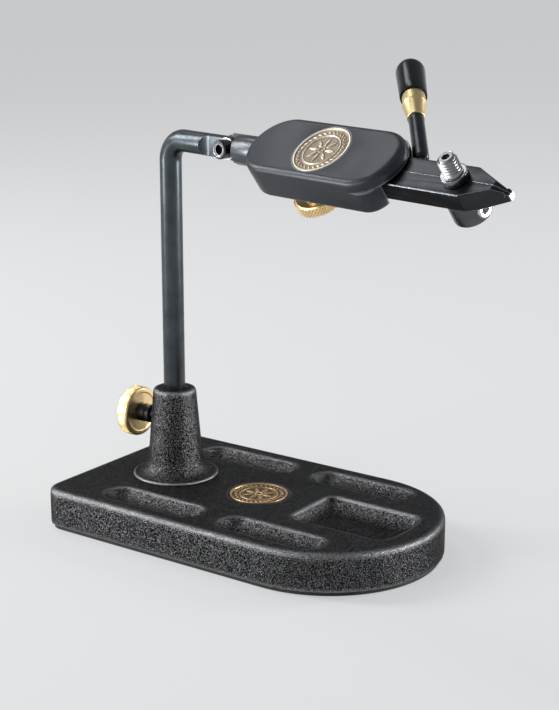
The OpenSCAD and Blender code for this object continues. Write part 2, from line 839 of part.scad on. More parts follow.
module far_spring() {
    side_spring(1);
}

// Cam and lever

// The yoke's plug sits in the housing's bore; its tongue runs between the jaws to the cam pin
module cam_yoke() {
    color([0.5, 0.51, 0.53]) head_frame() difference() {
        union() {
            rod_x(cavity_x - yoke_plug_t, cavity_x, bush_r);
            translate([cavity_x - over, -yoke_half_w, jaw_mid - yoke_t / 2]) cube([lever_x - cavity_x + over, 2 * yoke_half_w, yoke_t]);
            translate([lever_x, 0, jaw_mid - yoke_t / 2]) cylinder(h = yoke_t, r = yoke_eye_r);
        }
        translate([lever_x, 0, jaw_mid - yoke_t]) cylinder(h = 2 * yoke_t, r = cam_pin_r + run_fit);
    }
}

module cam_pin() {
    color([0.6, 0.6, 0.62]) head_frame() translate([lever_x, 0, jaw_mid - cam_h / 2]) cylinder(h = cam_h, r = cam_pin_r);
}

// Plan of the cam's slot: the yoke's path through the cam over the whole swing
module cam_slot_plan() {
    w = yoke_half_w + yoke_side_gap;
    reach = cam_r + 2 * cam_half;
    mid = 180 + lever_swing_deg / 2;
    last = 180 + lever_swing_deg;
    polygon([[0, w], [-reach, w], slot_bulge_share * reach * [cos(mid), sin(mid)],
        reach * [cos(last), sin(last)] + w * [-sin(last), cos(last)], w * [-sin(last), cos(last)]]);
}

// Flat-sided cam; its slot leaves room for the yoke over the whole swing
module cam_barrel() {
    slot_h = yoke_t + 2 * yoke_gap;
    color([0.45, 0.46, 0.48]) head_frame() translate([lever_x, 0, jaw_mid]) difference() {
        translate([0, 0, -cam_h / 2]) {
            for (side = [-1, 1]) translate([side * cam_half, 0, 0]) cylinder(h = cam_h, r = cam_r);
            translate([-cam_half, -cam_r, 0]) cube([2 * cam_half, 2 * cam_r, cam_h]);
        }
        translate([0, 0, -slot_h / 2]) {
            cylinder(h = slot_h, r = yoke_eye_r + 2 * yoke_gap);
            linear_extrude(slot_h) cam_slot_plan();
        }
        translate([0, 0, -cam_h]) cylinder(h = 2 * cam_h, r = cam_pin_r + slip / 2);
        rotate([0, 0, lever_deg]) rod_x(cam_r + neck_seat - slip, 3 * cam_r, neck_r);
    }
}

module lever_rod() {
    color([0.08, 0.08, 0.09]) lever_frame() {
        rod_x(cam_r + neck_seat, neck_end, neck_r);
        rod_x(neck_end, grip_end - rod_seat, lever_r);
    }
}

module lever_ferrule() {
    color([0.83, 0.66, 0.35]) lever_frame() rotate([0, 90, 0]) rotate_extrude()
        polygon([[lever_r, ferrule_start], [ferrule_d1 / 2, ferrule_start], [ferrule_d2 / 2, grip_start - ferrule_band],
            [ferrule_d3 / 2, grip_start], [lever_r, grip_start]]);
}

// Domed grip, bored for the rod
module grip_profile() {
    r = grip_d / 2;
    low_r = r - grip_taper;
    polygon([[0, grip_start], [low_r - grip_edge_r, grip_start], [low_r, grip_start + grip_edge_r], [r, grip_end - r],
        [0, grip_end - r]]);
    translate([0, grip_end - r]) intersection() {
        circle(r);
        square(r);
    }
}

module lever_grip() {
    color([0.06, 0.06, 0.06]) lever_frame() difference() {
        rotate([0, 90, 0]) rotate_extrude() grip_profile();
        rod_x(grip_start - over, grip_end - rod_seat, lever_r);
    }
}

// Jaws: the far jaw lies on +y of the head's frame, the near jaw is its mirror image with the stud's seat

function side_x(x0, y0, deg, y) = x0 + (y - y0) * cos(deg) / sin(deg);

// Window through the far jaw for the lever's neck, wide enough for its whole swing
module lever_window() {
    back = neck_r + neck_gap;
    front = neck_r + neck_front_gap;
    inner = cam_r / 2;
    outer = jaw_w + over;
    back_x = lever_x - back * sin(lever_deg);
    back_y = back * cos(lever_deg);
    front_x = lever_x + front * sin(window_deg);
    front_y = -front * cos(window_deg);
    translate([0, 0, jaw_mid - back]) linear_extrude(2 * back) polygon([
        [side_x(back_x, back_y, lever_deg, inner), inner], [side_x(back_x, back_y, lever_deg, outer), outer],
        [side_x(front_x, front_y, window_deg, outer), outer], [side_x(front_x, front_y, window_deg, inner), inner]]);
}

// Plan of one jaw: relieved tail, straight seam and tapered nose
module jaw_plan() {
    polygon([[jaw_back_x, tail_relief], [tail_relief_x, tail_relief], [tail_relief_x, seam_half],
        [jaw_tip_x, seam_half], [jaw_tip_x, tip_w], [nose_x, jaw_w], [jaw_back_x + tail_round_r, jaw_w],
        [jaw_back_x, jaw_w - tail_round_r]]);
}

// Side view of the jaws: the nose slopes to the tip from above and below
module jaw_side() {
    polygon([[jaw_back_x, jaw_bottom], [nose_bottom_x, jaw_bottom], [jaw_tip_x, tip_mid - tip_h / 2],
        [jaw_tip_x, tip_mid + tip_h / 2], [nose_top_x, jaw_top], [jaw_back_x, jaw_top]]);
}

module jaw_blank() {
    taper_deg = atan2(jaw_w - tip_w, nose_len);
    difference() {
        intersection() {
            translate([0, 0, jaw_bottom - over]) linear_extrude(jaw_h + 2 * over) jaw_plan();
            translate([0, jaw_w + over, 0]) rotate([90, 0, 0]) linear_extrude(jaw_w + 2 * over) jaw_side();
        }
        // Small bevel along the top outer edge and a leaning face over the taper
        translate([jaw_back_x, jaw_w, jaw_top - jaw_edge]) rotate([45, 0, 0]) cube([nose_x - jaw_back_x, 2 * jaw_edge, 2 * jaw_edge]);
        translate([nose_x - nose_face_back, jaw_w, jaw_top]) rotate([nose_face_tilt_deg, 0, -taper_deg - nose_face_turn_deg])
            translate([-nose_len, 0, -nose_len]) cube(2 * nose_len);
        // Hinge bore, spring cup, cam pocket and slot for the yoke
        translate([jaw_pin_x, jaw_pin_y, jaw_bottom - over]) cylinder(h = jaw_h + 2 * over, r = jaw_pin_r + run_fit);
        translate([spring_x, jaw_w - spring_cup, jaw_mid]) rotate([-90, 0, 0]) cylinder(h = 2 * spring_cup, r = spring_hole_r);
        translate([lever_x - cam_r - cam_half - pocket_end_gap, -over, jaw_mid - cam_h / 2 - yoke_gap])
            cube([2 * (cam_r + cam_half + pocket_end_gap), over + cam_r + cam_gap, cam_h + 2 * yoke_gap]);
        translate([cavity_x, -over, jaw_mid - yoke_t / 2 - 2 * yoke_gap])
            cube([lever_x - cavity_x, over + yoke_half_w + yoke_side_gap, yoke_t + 4 * yoke_gap]);
    }
}

module far_jaw() {
    color([0.2, 0.2, 0.21]) head_frame() difference() {
        jaw_blank();
        lever_window();
        translate([stud_x, 0, jaw_bottom - over]) cylinder(h = jaw_h + 2 * over, r = stud_r + stud_open_gap);
    }
}

module near_jaw() {
    color([0.2, 0.2, 0.21]) head_frame() difference() {
        mirror([0, 1, 0]) jaw_blank();
        translate([stud_x, 0, jaw_bottom - over]) cylinder(h = jaw_h + 2 * over, r = stud_r + stud_slack);
    }
}

// Stop stud with its collar and boss; they ride on the near jaw and keep both jaws level

module stud_screw() {
    top = jaw_top + seat_gap + collar_t + stud_len;
    foot = jaw_bottom - boss_h + stud_foot;
    color([0.75, 0.76, 0.78]) head_frame() translate([stud_x, 0, foot]) difference() {
        union() {
            cylinder(h = top - foot - stud_edge, r = stud_r);
            translate([0, 0, top - foot - stud_edge]) cylinder(h = stud_edge, r1 = stud_r, r2 = stud_r - stud_edge);
        }
        translate([0, 0, top - foot]) key_socket(stud_key_w, stud_key_depth);
    }
}

module stud_collar() {
    color([0.25, 0.25, 0.27]) head_frame() translate([stud_x, 0, jaw_top + seat_gap]) difference() {
        cylinder(h = collar_t, d = collar_d);
        translate([0, 0, -over]) cylinder(h = collar_t + 2 * over, r = stud_r + stud_slack);
    }
}

module stud_boss() {
    color([0.2, 0.2, 0.21]) head_frame() translate([stud_x, 0, jaw_bottom - seat_gap]) difference() {
        mirror([0, 0, 1]) round_disc(boss_d / 2, boss_h, boss_edge_r);
        translate([0, 0, stud_foot - boss_h - seat_gap]) cylinder(h = boss_h, r = stud_r + stud_slack);
        translate([0, 0, -boss_screw_drop]) {
            rod_x(0, boss_d, boss_screw_d / 2 + thread_slack);
            rod_x(boss_screw_out - boss_screw_head_h - seat_gap, boss_d, boss_screw_head_d / 2 + thread_slack);
        }
    }
}

module boss_screw() {
    color([0.8, 0.8, 0.82]) head_frame() translate([stud_x, 0, jaw_bottom - seat_gap - boss_screw_drop]) difference() {
        union() {
            rod_x(stud_r + screw_end_gap, boss_screw_out, boss_screw_d / 2);
            rod_x(boss_screw_out - boss_screw_head_h, boss_screw_out, boss_screw_head_d / 2);
        }
        translate([boss_screw_out, 0, 0]) rotate([0, 90, 0]) key_socket(boss_screw_key_w, boss_screw_key_depth);
    }
}

base_casting();
base_pad();
base_medallion();
socket_bolt();
post_socket();
clamp_pad();
clamp_screw();
clamp_knob();
post_end_cap();
post();
tilt_washer();
tilt_screw();
head_shaft();
shaft_retainer();
retainer_screw();
shaft_bushing();
head_housing();
housing_medallion();
housing_cover();
cover_screws();
friction_pad();
tension_screw();
tension_knob();
jaw_pins();
near_spring();
far_spring();
cam_yoke();
cam_pin();
cam_barrel();
lever_rod();
lever_ferrule();
lever_grip();
near_jaw();
far_jaw();
stud_screw();
stud_collar();
stud_boss();
boss_screw();
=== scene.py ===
import math
import bmesh
import bpy
from mathutils import Matrix, Vector


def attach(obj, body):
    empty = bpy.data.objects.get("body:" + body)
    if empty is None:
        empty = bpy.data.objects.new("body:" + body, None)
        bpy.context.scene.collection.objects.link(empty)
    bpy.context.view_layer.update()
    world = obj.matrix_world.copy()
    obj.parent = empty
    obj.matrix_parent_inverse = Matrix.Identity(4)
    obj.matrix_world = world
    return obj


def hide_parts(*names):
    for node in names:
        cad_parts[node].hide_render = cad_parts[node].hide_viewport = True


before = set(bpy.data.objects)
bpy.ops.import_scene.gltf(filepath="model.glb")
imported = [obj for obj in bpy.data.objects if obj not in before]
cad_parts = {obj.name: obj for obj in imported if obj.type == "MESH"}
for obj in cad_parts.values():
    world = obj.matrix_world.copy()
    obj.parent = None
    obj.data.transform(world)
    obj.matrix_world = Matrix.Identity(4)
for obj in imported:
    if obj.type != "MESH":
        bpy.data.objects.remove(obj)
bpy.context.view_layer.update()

# The studio: a pale floor under an even, pale sky, with soft lamps above and to both sides. The camera
# stands in front of the base's rounded end, a little above the head, and looks down at the vise.
mm = 0.001
scene = bpy.context.scene
scene.view_settings.view_transform = "Standard"

film_width = 36
picture_width_px = 559
focal_length_px = 1650
looks_down, looks_left = math.radians(15.35), math.radians(35.53)
camera = bpy.data.objects.new("camera", bpy.data.cameras.new("camera"))
scene.collection.objects.link(camera)
camera.location = (447.8 * mm, -546.7 * mm, 266.9 * mm)
camera.rotation_euler = (math.radians(90) - looks_down, 0, looks_left)
camera.data.sensor_fit = "HORIZONTAL"
camera.data.sensor_width = film_width
camera.data.lens = film_width * focal_length_px / picture_width_px
camera.data.clip_start = 0.01
scene.camera = camera


def add(tree, kind, inputs=None, **settings):
    """One new node; inputs maps a socket's name or number to a value or to the socket that feeds it."""
    made = tree.nodes.new(kind)
    for key, value in settings.items():
        setattr(made, key, value)
    for key, value in (inputs or {}).items():
        if isinstance(value, bpy.types.NodeSocket):
            tree.links.new(value, made.inputs[key])
        else:
            made.inputs[key].default_value = value
    return made


def flow(tree, kind, inputs=None, **settings):
    """The first output of one new node."""
    return add(tree, kind, inputs, **settings).outputs[0]


def maths(tree, operation, first, second=0.0):
    """The result of one Math node."""
    return flow(tree, "ShaderNodeMath", {0: first, 1: second}, operation=operation)


def seen_rays(tree):
    """1 for camera, mirror and glass rays, and 0 for the rays that carry soft light."""
    rays = add(tree, "ShaderNodeLightPath").outputs
    mirror = maths(tree, "MAXIMUM", rays["Is Glossy Ray"], rays["Is Transmission Ray"])
    return maths(tree, "MAXIMUM", rays["Is Camera Ray"], mirror)


def pale_world():
    """Soft light for the object; camera, mirror and glass rays see a pale sky, palest at the horizon."""
    horizon, overhead, fade_height = (0.68, 0.69, 0.7, 1), (0.3, 0.31, 0.32, 1), 0.45
    world = bpy.data.worlds.new("studio")
    world.use_nodes = True
    tree = world.node_tree
    tree.nodes.clear()
    shown = seen_rays(tree)
    way = add(tree, "ShaderNodeTexCoord").outputs["Generated"]
    height = add(tree, "ShaderNodeSeparateXYZ", {0: way}).outputs["Z"]
    ramp = add(tree, "ShaderNodeValToRGB", {0: height})
    low, high = ramp.color_ramp.elements
    low.position, low.color = 0.0, horizon
    high.position, high.color = fade_height, overhead
    light = flow(tree, "ShaderNodeBackground", {"Color": (0.95, 0.97, 1.0, 1), "Strength": 0.36})
    sky = flow(tree, "ShaderNodeBackground", {"Color": ramp.outputs["Color"], "Strength": 1.0})
    mix = flow(tree, "ShaderNodeMixShader", {0: shown, 1: light, 2: sky})
    add(tree, "ShaderNodeOutputWorld", {"Surface": mix})
    scene.world = world


def soft_lamp(name, place, aim, width, height, watts):
    """A soft box at place, turned to shine at aim."""
    lamp = bpy.data.objects.new(name, bpy.data.lights.new(name, "AREA"))
    scene.collection.objects.link(lamp)
    lamp.data.shape = "RECTANGLE"
    lamp.data.size = width
    lamp.data.size_y = height
    lamp.data.energy = watts
    lamp.visible_camera = False
    lamp.location = place
    lamp.rotation_euler = (Vector(aim) - Vector(place)).to_track_quat("-Z", "Y").to_euler()
    return lamp


pale_world()
vise_middle, over_base, at_post = (0.08, 0, 0.13), (0.08, 0, 0.1), (0, 0, 0.13)
soft_lamp("overhead", (-0.52, 0.18, 1.08), vise_middle, width=0.22, height=0.55, watts=1.7)
soft_lamp("left_side", (-0.95, -0.36, 0.72), vise_middle, width=0.2, height=0.6, watts=9)
soft_lamp("left_front", (-0.3, -1.0, 0.4), over_base, width=0.4, height=0.4, watts=2.5)
soft_lamp("right_rear", (0.75, 0.95, 0.55), vise_middle, width=0.2, height=0.6, watts=4.5)
strips = [soft_lamp("left_strip", (-0.55, -0.59, 0.15), at_post, width=0.1, height=0.22, watts=4.2),
          soft_lamp("right_strip", (0.72, 0.37, 0.15), at_post, width=0.1, height=0.22, watts=5.0)]

floor_reach = 12
under_pad = -0.05 * mm
corners = [(x * floor_reach, y * floor_reach, under_pad) for x, y in ((-1, -1), (1, -1), (1, 1), (-1, 1))]
floor_mesh = bpy.data.meshes.new("floor")
floor_mesh.from_pydata(corners, [], [(0, 1, 2, 3)])
floor = bpy.data.objects.new("floor", floor_mesh)
scene.collection.objects.link(floor)
floor_paint = bpy.data.materials.new("floor_paint")
floor_paint.use_nodes = True
tree = floor_paint.node_tree
tree.nodes.clear()
matt = flow(tree, "ShaderNodeBsdfDiffuse", {"Color": (0.8, 0.8, 0.79, 1)})
shadowed = flow(tree, "ShaderNodeBsdfDiffuse", {"Color": (0.34, 0.34, 0.335, 1)})
pale = flow(tree, "ShaderNodeEmission", {"Color": (0.97, 0.98, 1.0, 1), "Strength": 0.47})
shown = flow(tree, "ShaderNodeAddShader", {0: shadowed, 1: pale})
floor_mix = flow(tree, "ShaderNodeMixShader", {0: seen_rays(tree), 1: matt, 2: shown})
add(tree, "ShaderNodeOutputMaterial", {"Surface": floor_mix})
floor_mesh.materials.append(floor_paint)

# The two low strips stand close to the floor. They would draw hard white pools on it, so they light all
# but the floor.
unlit = bpy.data.collections.new("unlit_by_strips")
unlit.objects.link(floor)
unlit.collection_objects[0].light_linking.link_state = "EXCLUDE"
for strip in strips:
    strip.light_linking.receiver_collection = unlit

# The base is a heavy iron casting with four long pockets and a wide dish for hooks, dressed all over in a
# coarse black textured coat, so that every rim is soft. A thin rubber sheet is glued under it.


def surface(name, colour, roughness, metallic=0.0):
    """A new material; returns it with its tree, its shader and its Object coordinates."""
    made = bpy.data.materials.new(name)
    made.use_nodes = True
    tree = made.node_tree
    shader = tree.nodes["Principled BSDF"]
    shader.inputs["Base Color"].default_value = (*colour, 1)
    shader.inputs["Roughness"].default_value = roughness
    shader.inputs["Metallic"].default_value = metallic
    where = add(tree, "ShaderNodeTexCoord").outputs["Object"]
    return made, tree, shader, where


def feed(shader, socket, source):
    """Links a node's output to a named socket of the shader."""
    shader.id_data.links.new(source, shader.inputs[socket])


def grain(tree, where, size, detail=2.0, stretch=(1, 1, 1), turn=(0, 0, 0)):
    """Noise whose lumps are about size across, in metres, after a turn and a stretch of the coordinates."""
    turned_way = flow(tree, "ShaderNodeMapping", {"Vector": where, "Rotation": turn}, vector_type="POINT")
    pulled_way = flow(tree, "ShaderNodeMapping", {"Vector": turned_way, "Scale": stretch})
    noise = add(tree, "ShaderNodeTexNoise", {"Vector": pulled_way, "Scale": 1 / size, "Detail": detail})
    return noise.outputs["Fac"]


def spread(tree, factor, low, high, start=0.3, stop=0.7):
    """A factor's range from start to stop spread over low to high."""
    return flow(tree, "ShaderNodeMapRange", {0: factor, 1: start, 2: stop, 3: low, 4: high})


def blended(tree, factor, first, second):
    """Colour that goes from first to second with factor."""
    mix = add(tree, "ShaderNodeMix", {0: factor}, data_type="RGBA")
    for socket, colour in ((mix.inputs[6], first), (mix.inputs[7], second)):
        if isinstance(colour, bpy.types.NodeSocket):
            tree.links.new(colour, socket)
        else:
            socket.default_value = (*colour, 1)
    return mix.outputs[2]


def relief(tree, shader, height, depth, strength=1.0):
    """Bumps from a height factor; depth is the height of one unit, in metres."""
    bump = {"Height": height, "Distance": depth, "Strength": strength}
    feed(shader, "Normal", flow(tree, "ShaderNodeBump", bump))


def textured_coat(name, colour, painted_glint):
    """Coarse black powder coat: half-glossy lumps under a millimetre across, with painted glints on the
    tallest lumps and painted highlights along the rims.
    """
    lump_share, rim_painted_glint = 0.55, 0.28
    flat_crest, sharp_crest = 0.504, 0.55
    painted_glint_from, painted_glint_to = 0.46, 0.72
    made, tree, shader, where = surface(name, colour, roughness=0.4, metallic=0.8)
    shader.inputs["Specular Tint"].default_value = (0.12, 0.12, 0.12, 1)
    shader.inputs["Specular IOR Level"].default_value = 0.15
    lumps = maths(tree, "MULTIPLY", grain(tree, where, 0.55 * mm), lump_share)
    fine = maths(tree, "MULTIPLY", grain(tree, where, 0.32 * mm, detail=1.0), 1 - lump_share)
    height = maths(tree, "ADD", lumps, fine)
    # Painted highlights: the sharpest rims, found by Pointiness, and the tallest lumps are painted towards
    # the glint colour.
    crest = add(tree, "ShaderNodeNewGeometry").outputs["Pointiness"]
    painted_rim_highlights = spread(tree, crest, 0.0, rim_painted_glint, flat_crest, sharp_crest)
    level = spread(tree, maths(tree, "ADD", height, painted_rim_highlights), 0.0, 1.0, painted_glint_from, painted_glint_to)
    feed(shader, "Base Color", blended(tree, level, colour, painted_glint))
    feed(shader, "Roughness", spread(tree, height, 0.36, 0.24))
    relief(tree, shader, height, 0.4 * mm)
    return made


def as_mesh(name, shape):
    """A mesh as it is, or a bmesh turned into one."""
    if isinstance(shape, bpy.types.Mesh):
        return shape
    mesh = bpy.data.meshes.new(name)
    shape.to_mesh(mesh)
    shape.free()
    return mesh


def merged_copy(node):
    """The CAD node's mesh as a joined-up bmesh with its flat faces whole."""
    whole = bmesh.new()
    whole.from_mesh(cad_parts[node].data)
    bmesh.ops.remove_doubles(whole, verts=whole.verts, dist=0.002 * mm)
    bmesh.ops.dissolve_limit(whole, angle_limit=math.radians(0.5), verts=whole.verts, edges=whole.edges)
    return whole


def work_object(name, shape):
    """A temporary object that holds a shape while modifiers run on it."""
    holder = bpy.data.objects.new(name + "_work", as_mesh(name, shape))
    scene.collection.objects.link(holder)
    return holder


def result_of(holder):
    """The mesh that a temporary object's modifiers give; the object goes."""
    shaped = bpy.data.meshes.new_from_object(holder.evaluated_get(bpy.context.evaluated_depsgraph_get()))
    bpy.data.objects.remove(holder)
    return shaped


def with_modifiers(name, shape, *modifiers):
    """A mesh made by running modifiers, each a kind and its settings, over a shape."""
    holder = work_object(name, shape)
    for kind, settings in modifiers:
        modifier = holder.modifiers.new(kind.lower(), kind)
        for key, value in settings.items():
            setattr(modifier, key, value)
    return result_of(holder)


def new_piece(name, body, material, shape, stands_for, sharp=32):
    """Finishes a shape as a piece: smooth faces, sharp edges past an angle, its material and body; the CAD
    nodes it stands for are hidden.
    """
    mesh = as_mesh(name, shape)
    mesh.name = name
    for spare in ("custom_normal", "sharp_edge"):
        if spare in mesh.attributes:
            mesh.attributes.remove(mesh.attributes[spare])
    mesh.polygons.foreach_set("use_smooth", [True] * len(mesh.polygons))
    mesh.set_sharp_from_angle(angle=math.radians(sharp))
    mesh.materials.clear()
    mesh.materials.append(material)
    piece = bpy.data.objects.new(name, mesh)
    scene.collection.objects.link(piece)
    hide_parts(*stands_for)
    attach(piece, body)


def dress(node, material):
    """Gives a CAD node that keeps its own shape its finish."""
    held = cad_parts[node]
    held.data.materials.clear()
    held.data.materials.append(material)


def coated_cast(node, voxel, smoothings):
    """A casting of the base: rebuilt on a fine grid and smoothed, which rounds every rim, then coated."""
    name = node + "_coated"
    shape = with_modifiers(
        name, merged_copy(node),
        ("REMESH", {"mode": "VOXEL", "voxel_size": voxel}),
        ("SMOOTH", {"factor": 0.5, "iterations": smoothings}))
    new_piece(name, "base", coat, shape, [node], sharp=60)


# The coat's second colour is the painted glint on its lumps and rims.
coat = textured_coat("textured_coat", (0.005, 0.005, 0.0052), painted_glint=(0.27, 0.273, 0.28))
coated_cast("base_casting", voxel=0.85 * mm, smoothings=7)

sheet_rubber, tree, shader, where = surface("sheet_rubber", (0.02, 0.02, 0.02), roughness=0.75)
relief(tree, shader, grain(tree, where, 0.4 * mm), 0.05 * mm, strength=0.6)
feed(shader, "Roughness", spread(tree, grain(tree, where, 8 * mm), 0.68, 0.85))
dress("base_pad", sheet_rubber)

# A steel bolt comes up through the casting into the post's socket, a tapered iron column with a flared
# foot, which has the same coat as the base.
steel_grey = (0.62, 0.62, 0.63)
bright_steel, tree, shader, where = surface("bright_steel", steel_grey, roughness=0.24, metallic=1.0)
feed(shader, "Roughness", spread(tree, grain(tree, where, 1.2 * mm, detail=3.0), 0.18, 0.32))
relief(tree, shader, grain(tree, where, 0.35 * mm), 0.01 * mm, strength=0.5)
dress("socket_bolt", bright_steel)
coated_cast("post_socket", voxel=0.6 * mm, smoothings=4)

# The medallions in the base and on the housing are struck bronze: a raised rim, a wreath of small leaves on
# a sunk ground and a plain rosette, with dark patina in the hollows. Each is let into a round seat.


def moved(x, y, z):
    """A shift, in millimetres."""
    return Matrix.Translation((x * mm, y * mm, z * mm))


def spun(degrees, axis):
    """A turn about one axis."""
    return Matrix.Rotation(math.radians(degrees), 4, axis)


def turned(outline, matrix=Matrix.Identity(4), steps=64, key=None):
    """Spins (radius, height) points about the matrix's z axis; key is the width and depth of a six-sided
    socket sunk into the last ring."""
    angles = [math.tau * k / steps for k in range(steps)]
    rings = [[(radius * math.cos(angle), radius * math.sin(angle), height) for angle in angles]
             for radius, height in outline]
    if key:
        width, depth = key
        mouth = outline[-1][1]
        folds = [(angle + math.pi / 6) % (math.pi / 3) - math.pi / 6 for angle in angles]
        reaches = [width / 2 / math.cos(fold) for fold in folds]
        for height in (mouth, mouth - depth):
            rings.append([(reach * math.cos(angle), reach * math.sin(angle), height)
                          for reach, angle in zip(reaches, angles)])
    shape = bmesh.new()
    made = [[shape.verts.new(matrix @ Vector(p)) for p in ring] for ring in rings]
    for low, high in zip(made, made[1:]):
        for k in range(steps):
            after = (k + 1) % steps
            shape.faces.new((low[k], low[after], high[after], high[k]))
    shape.faces.new(made[0][::-1])
    shape.faces.new(made[-1])
    bmesh.ops.remove_doubles(shape, verts=shape.verts, dist=0.001 * mm)
    bmesh.ops.dissolve_degenerate(shape, dist=0.0005 * mm, edges=shape.edges)
    bmesh.ops.recalc_face_normals(shape, faces=shape.faces)
    return shape


def rounded(points, radius, steps=4):
    """An outline whose corners are rounded off over a length, or over less where a side is short."""
    longest_share = 0.45
    result = [points[0]]
    for before, here, after in zip(points, points[1:], points[2:]):
        corner = Vector(here)
        back, on = Vector(before) - corner, Vector(after) - corner
        cut = min(radius, back.length * longest_share, on.length * longest_share)
        start, stop = corner + back.normalized() * cut, corner + on.normalized() * cut
        for i in range(steps + 1):
            share = i / steps
            point = start * (1 - share) ** 2 + corner * 2 * share * (1 - share) + stop * share ** 2
            result.append((point.x, point.y))
    result.append(points[-1])
    return result


def with_copies(name, shape, material, copies, matrix=Matrix.Identity(4), **sizes):
    """Runs Geometry Nodes over a shape and lays the result on matrix; copies builds the nodes that add to
    the shape, from the group's inputs, which are the sizes."""
    tree = bpy.data.node_groups.new(name, "GeometryNodeTree")
    tree.interface.new_socket("Geometry", in_out="INPUT", socket_type="NodeSocketGeometry")
    for key, value in sizes.items():
        kind = "NodeSocketInt" if isinstance(value, int) else "NodeSocketFloat"
        tree.interface.new_socket(key, in_out="INPUT", socket_type=kind)
    tree.interface.new_socket("Geometry", in_out="OUTPUT", socket_type="NodeSocketGeometry")
    given = tree.nodes.new("NodeGroupInput").outputs
    real = flow(tree, "GeometryNodeRealizeInstances", {0: copies(tree, given)})
    both = add(tree, "GeometryNodeJoinGeometry")
    tree.links.new(real, both.inputs[0])
    tree.links.new(given["Geometry"], both.inputs[0])
    skin = flow(tree, "GeometryNodeSetMaterial", {"Geometry": both.outputs[0], "Material": material})
    add(tree, "NodeGroupOutput", {0: skin})
    holder = work_object(name, shape)
    modifier = holder.modifiers.new("repeat", "NODES")
    modifier.node_group = tree
    for item in tree.interface.items_tree:
        if item.in_out == "INPUT" and item.name in sizes:
            modifier[item.identifier] = sizes[item.name]
    result = result_of(holder)
    result.transform(matrix)
    return result


def lumps_in_a_ring(tree, given):
    """Count rounded lumps on a circle of Radius, each Out by Across by High from its middle, turned by Lean
    and raised by Lift."""
    circle = flow(tree, "GeometryNodeMeshCircle", {"Vertices": given["Count"], "Radius": given["Radius"]})
    ball = {"Segments": given["Segments"], "Rings": given["Rings"], "Radius": 1.0}
    size = flow(tree, "ShaderNodeCombineXYZ", {0: given["Out"], 1: given["Across"], 2: given["High"]})
    lump = flow(tree, "GeometryNodeTransform",
                {"Geometry": flow(tree, "GeometryNodeMeshUVSphere", ball), "Scale": size})
    step = maths(tree, "DIVIDE", math.tau, given["Count"])
    angle = maths(tree, "MULTIPLY", flow(tree, "GeometryNodeInputIndex"), step)
    turn = flow(tree, "ShaderNodeCombineXYZ", {2: maths(tree, "ADD", angle, given["Lean"])})
    put = flow(tree, "GeometryNodeInstanceOnPoints", {"Points": circle, "Instance": lump})
    leant = flow(tree, "GeometryNodeRotateInstances", {"Instances": put, "Rotation": turn})
    lift = flow(tree, "ShaderNodeCombineXYZ", {2: given["Lift"]})
    return flow(tree, "GeometryNodeTranslateInstances",
                {"Instances": leant, "Translation": lift, "Local Space": False})


def along_axis(tree, where, centre, axis):
    """How far each point lies from centre along an axis, in metres."""
    away = flow(tree, "ShaderNodeVectorMath", {0: where, 1: tuple(centre)}, operation="SUBTRACT")
    reach = add(tree, "ShaderNodeVectorMath", {0: away, 1: tuple(axis)}, operation="DOT_PRODUCT")
    return reach.outputs["Value"]


def struck_bronze(name, centre, normal, ground, hollow, crest):
    """Bronze that is dark in the hollows and bright on top; ground is the hollows' height, in metres."""
    clean_from, clean_to = ground + 0.1 * mm, ground + 0.42 * mm
    made, tree, shader, where = surface(name, crest, roughness=0.35, metallic=1.0)
    stain = maths(tree, "MULTIPLY", grain(tree, where, 0.5 * mm, detail=4.0), 0.25 * mm)
    level = maths(tree, "ADD", along_axis(tree, where, centre, normal), stain)
    clean = spread(tree, level, 0.0, 1.0, clean_from, clean_to)
    feed(shader, "Base Color", blended(tree, clean, hollow, crest))
    feed(shader, "Roughness", spread(tree, clean, 0.6, 0.3, start=0.0, stop=1.0))
    relief(tree, shader, grain(tree, where, 0.25 * mm, detail=3.0), 0.03 * mm, strength=0.8)
    return made


def medallion(name, body, node, radius, top, matrix, hollow, crest):
    """Rim, wreath and rosette on a sunk ground; top is the rim's height over the matrix's origin."""
    ground = top - 0.5 * mm
    bead_top = ground + 0.32 * mm
    rim_inside, rim_foot = radius - 0.75 * mm, radius - 1.0 * mm
    bead_outside, bead_from, bead_to, bead_inside = (radius * k for k in (0.68, 0.665, 0.63, 0.615))
    disc = rounded([
        (0, 0), (radius, 0), (radius, top), (rim_inside, top), (rim_foot, ground), (bead_outside, ground),
        (bead_from, bead_top), (bead_to, bead_top), (bead_inside, ground), (0, ground)], 0.14 * mm, 3)
    normal = matrix.to_3x3() @ Vector((0, 0, 1))
    bronze = struck_bronze(name + "_bronze", matrix.translation, normal, ground, hollow, crest)
    # Each row: how many, then distance, length and width as shares of the radius, height in mm, and lean.
    wreath = (30, 0.8, 0.105, 0.036, 0.36, 0.75)
    petals = (8, 0.33, 0.2, 0.075, 0.4, 0.0)
    petal_tips = (8, 0.47, 0.075, 0.045, 0.3, 0.0)
    heart = (14, 0.115, 0.03, 0.03, 0.42, 0.0)
    beads = (60, 0.565, 0.016, 0.016, 0.25, 0.0)
    struck = turned(disc, steps=96)
    for count, far, length, width, high, lean in (wreath, petals, petal_tips, heart, beads):
        struck = with_copies(
            name + "_ring", struck, bronze, lumps_in_a_ring, Count=count, Radius=radius * far, Segments=10,
            Rings=6, Out=radius * length, Across=radius * width, High=high * mm, Lean=lean, Lift=ground)
    struck.transform(matrix)
    new_piece(name, body, bronze, struck, [node], sharp=40)


medallion("base_medallion_struck", "base", "base_medallion", radius=12.7 * mm, top=1.6 * mm,
          matrix=moved(46.3, 0, 16.8), hollow=(0.105, 0.07, 0.038), crest=(0.6, 0.41, 0.22))

# The post's clamp: a black screw with a hub and a turned brass knob, its rim finely cut for grip, and a
# small pad at the screw's tip that presses on the post.


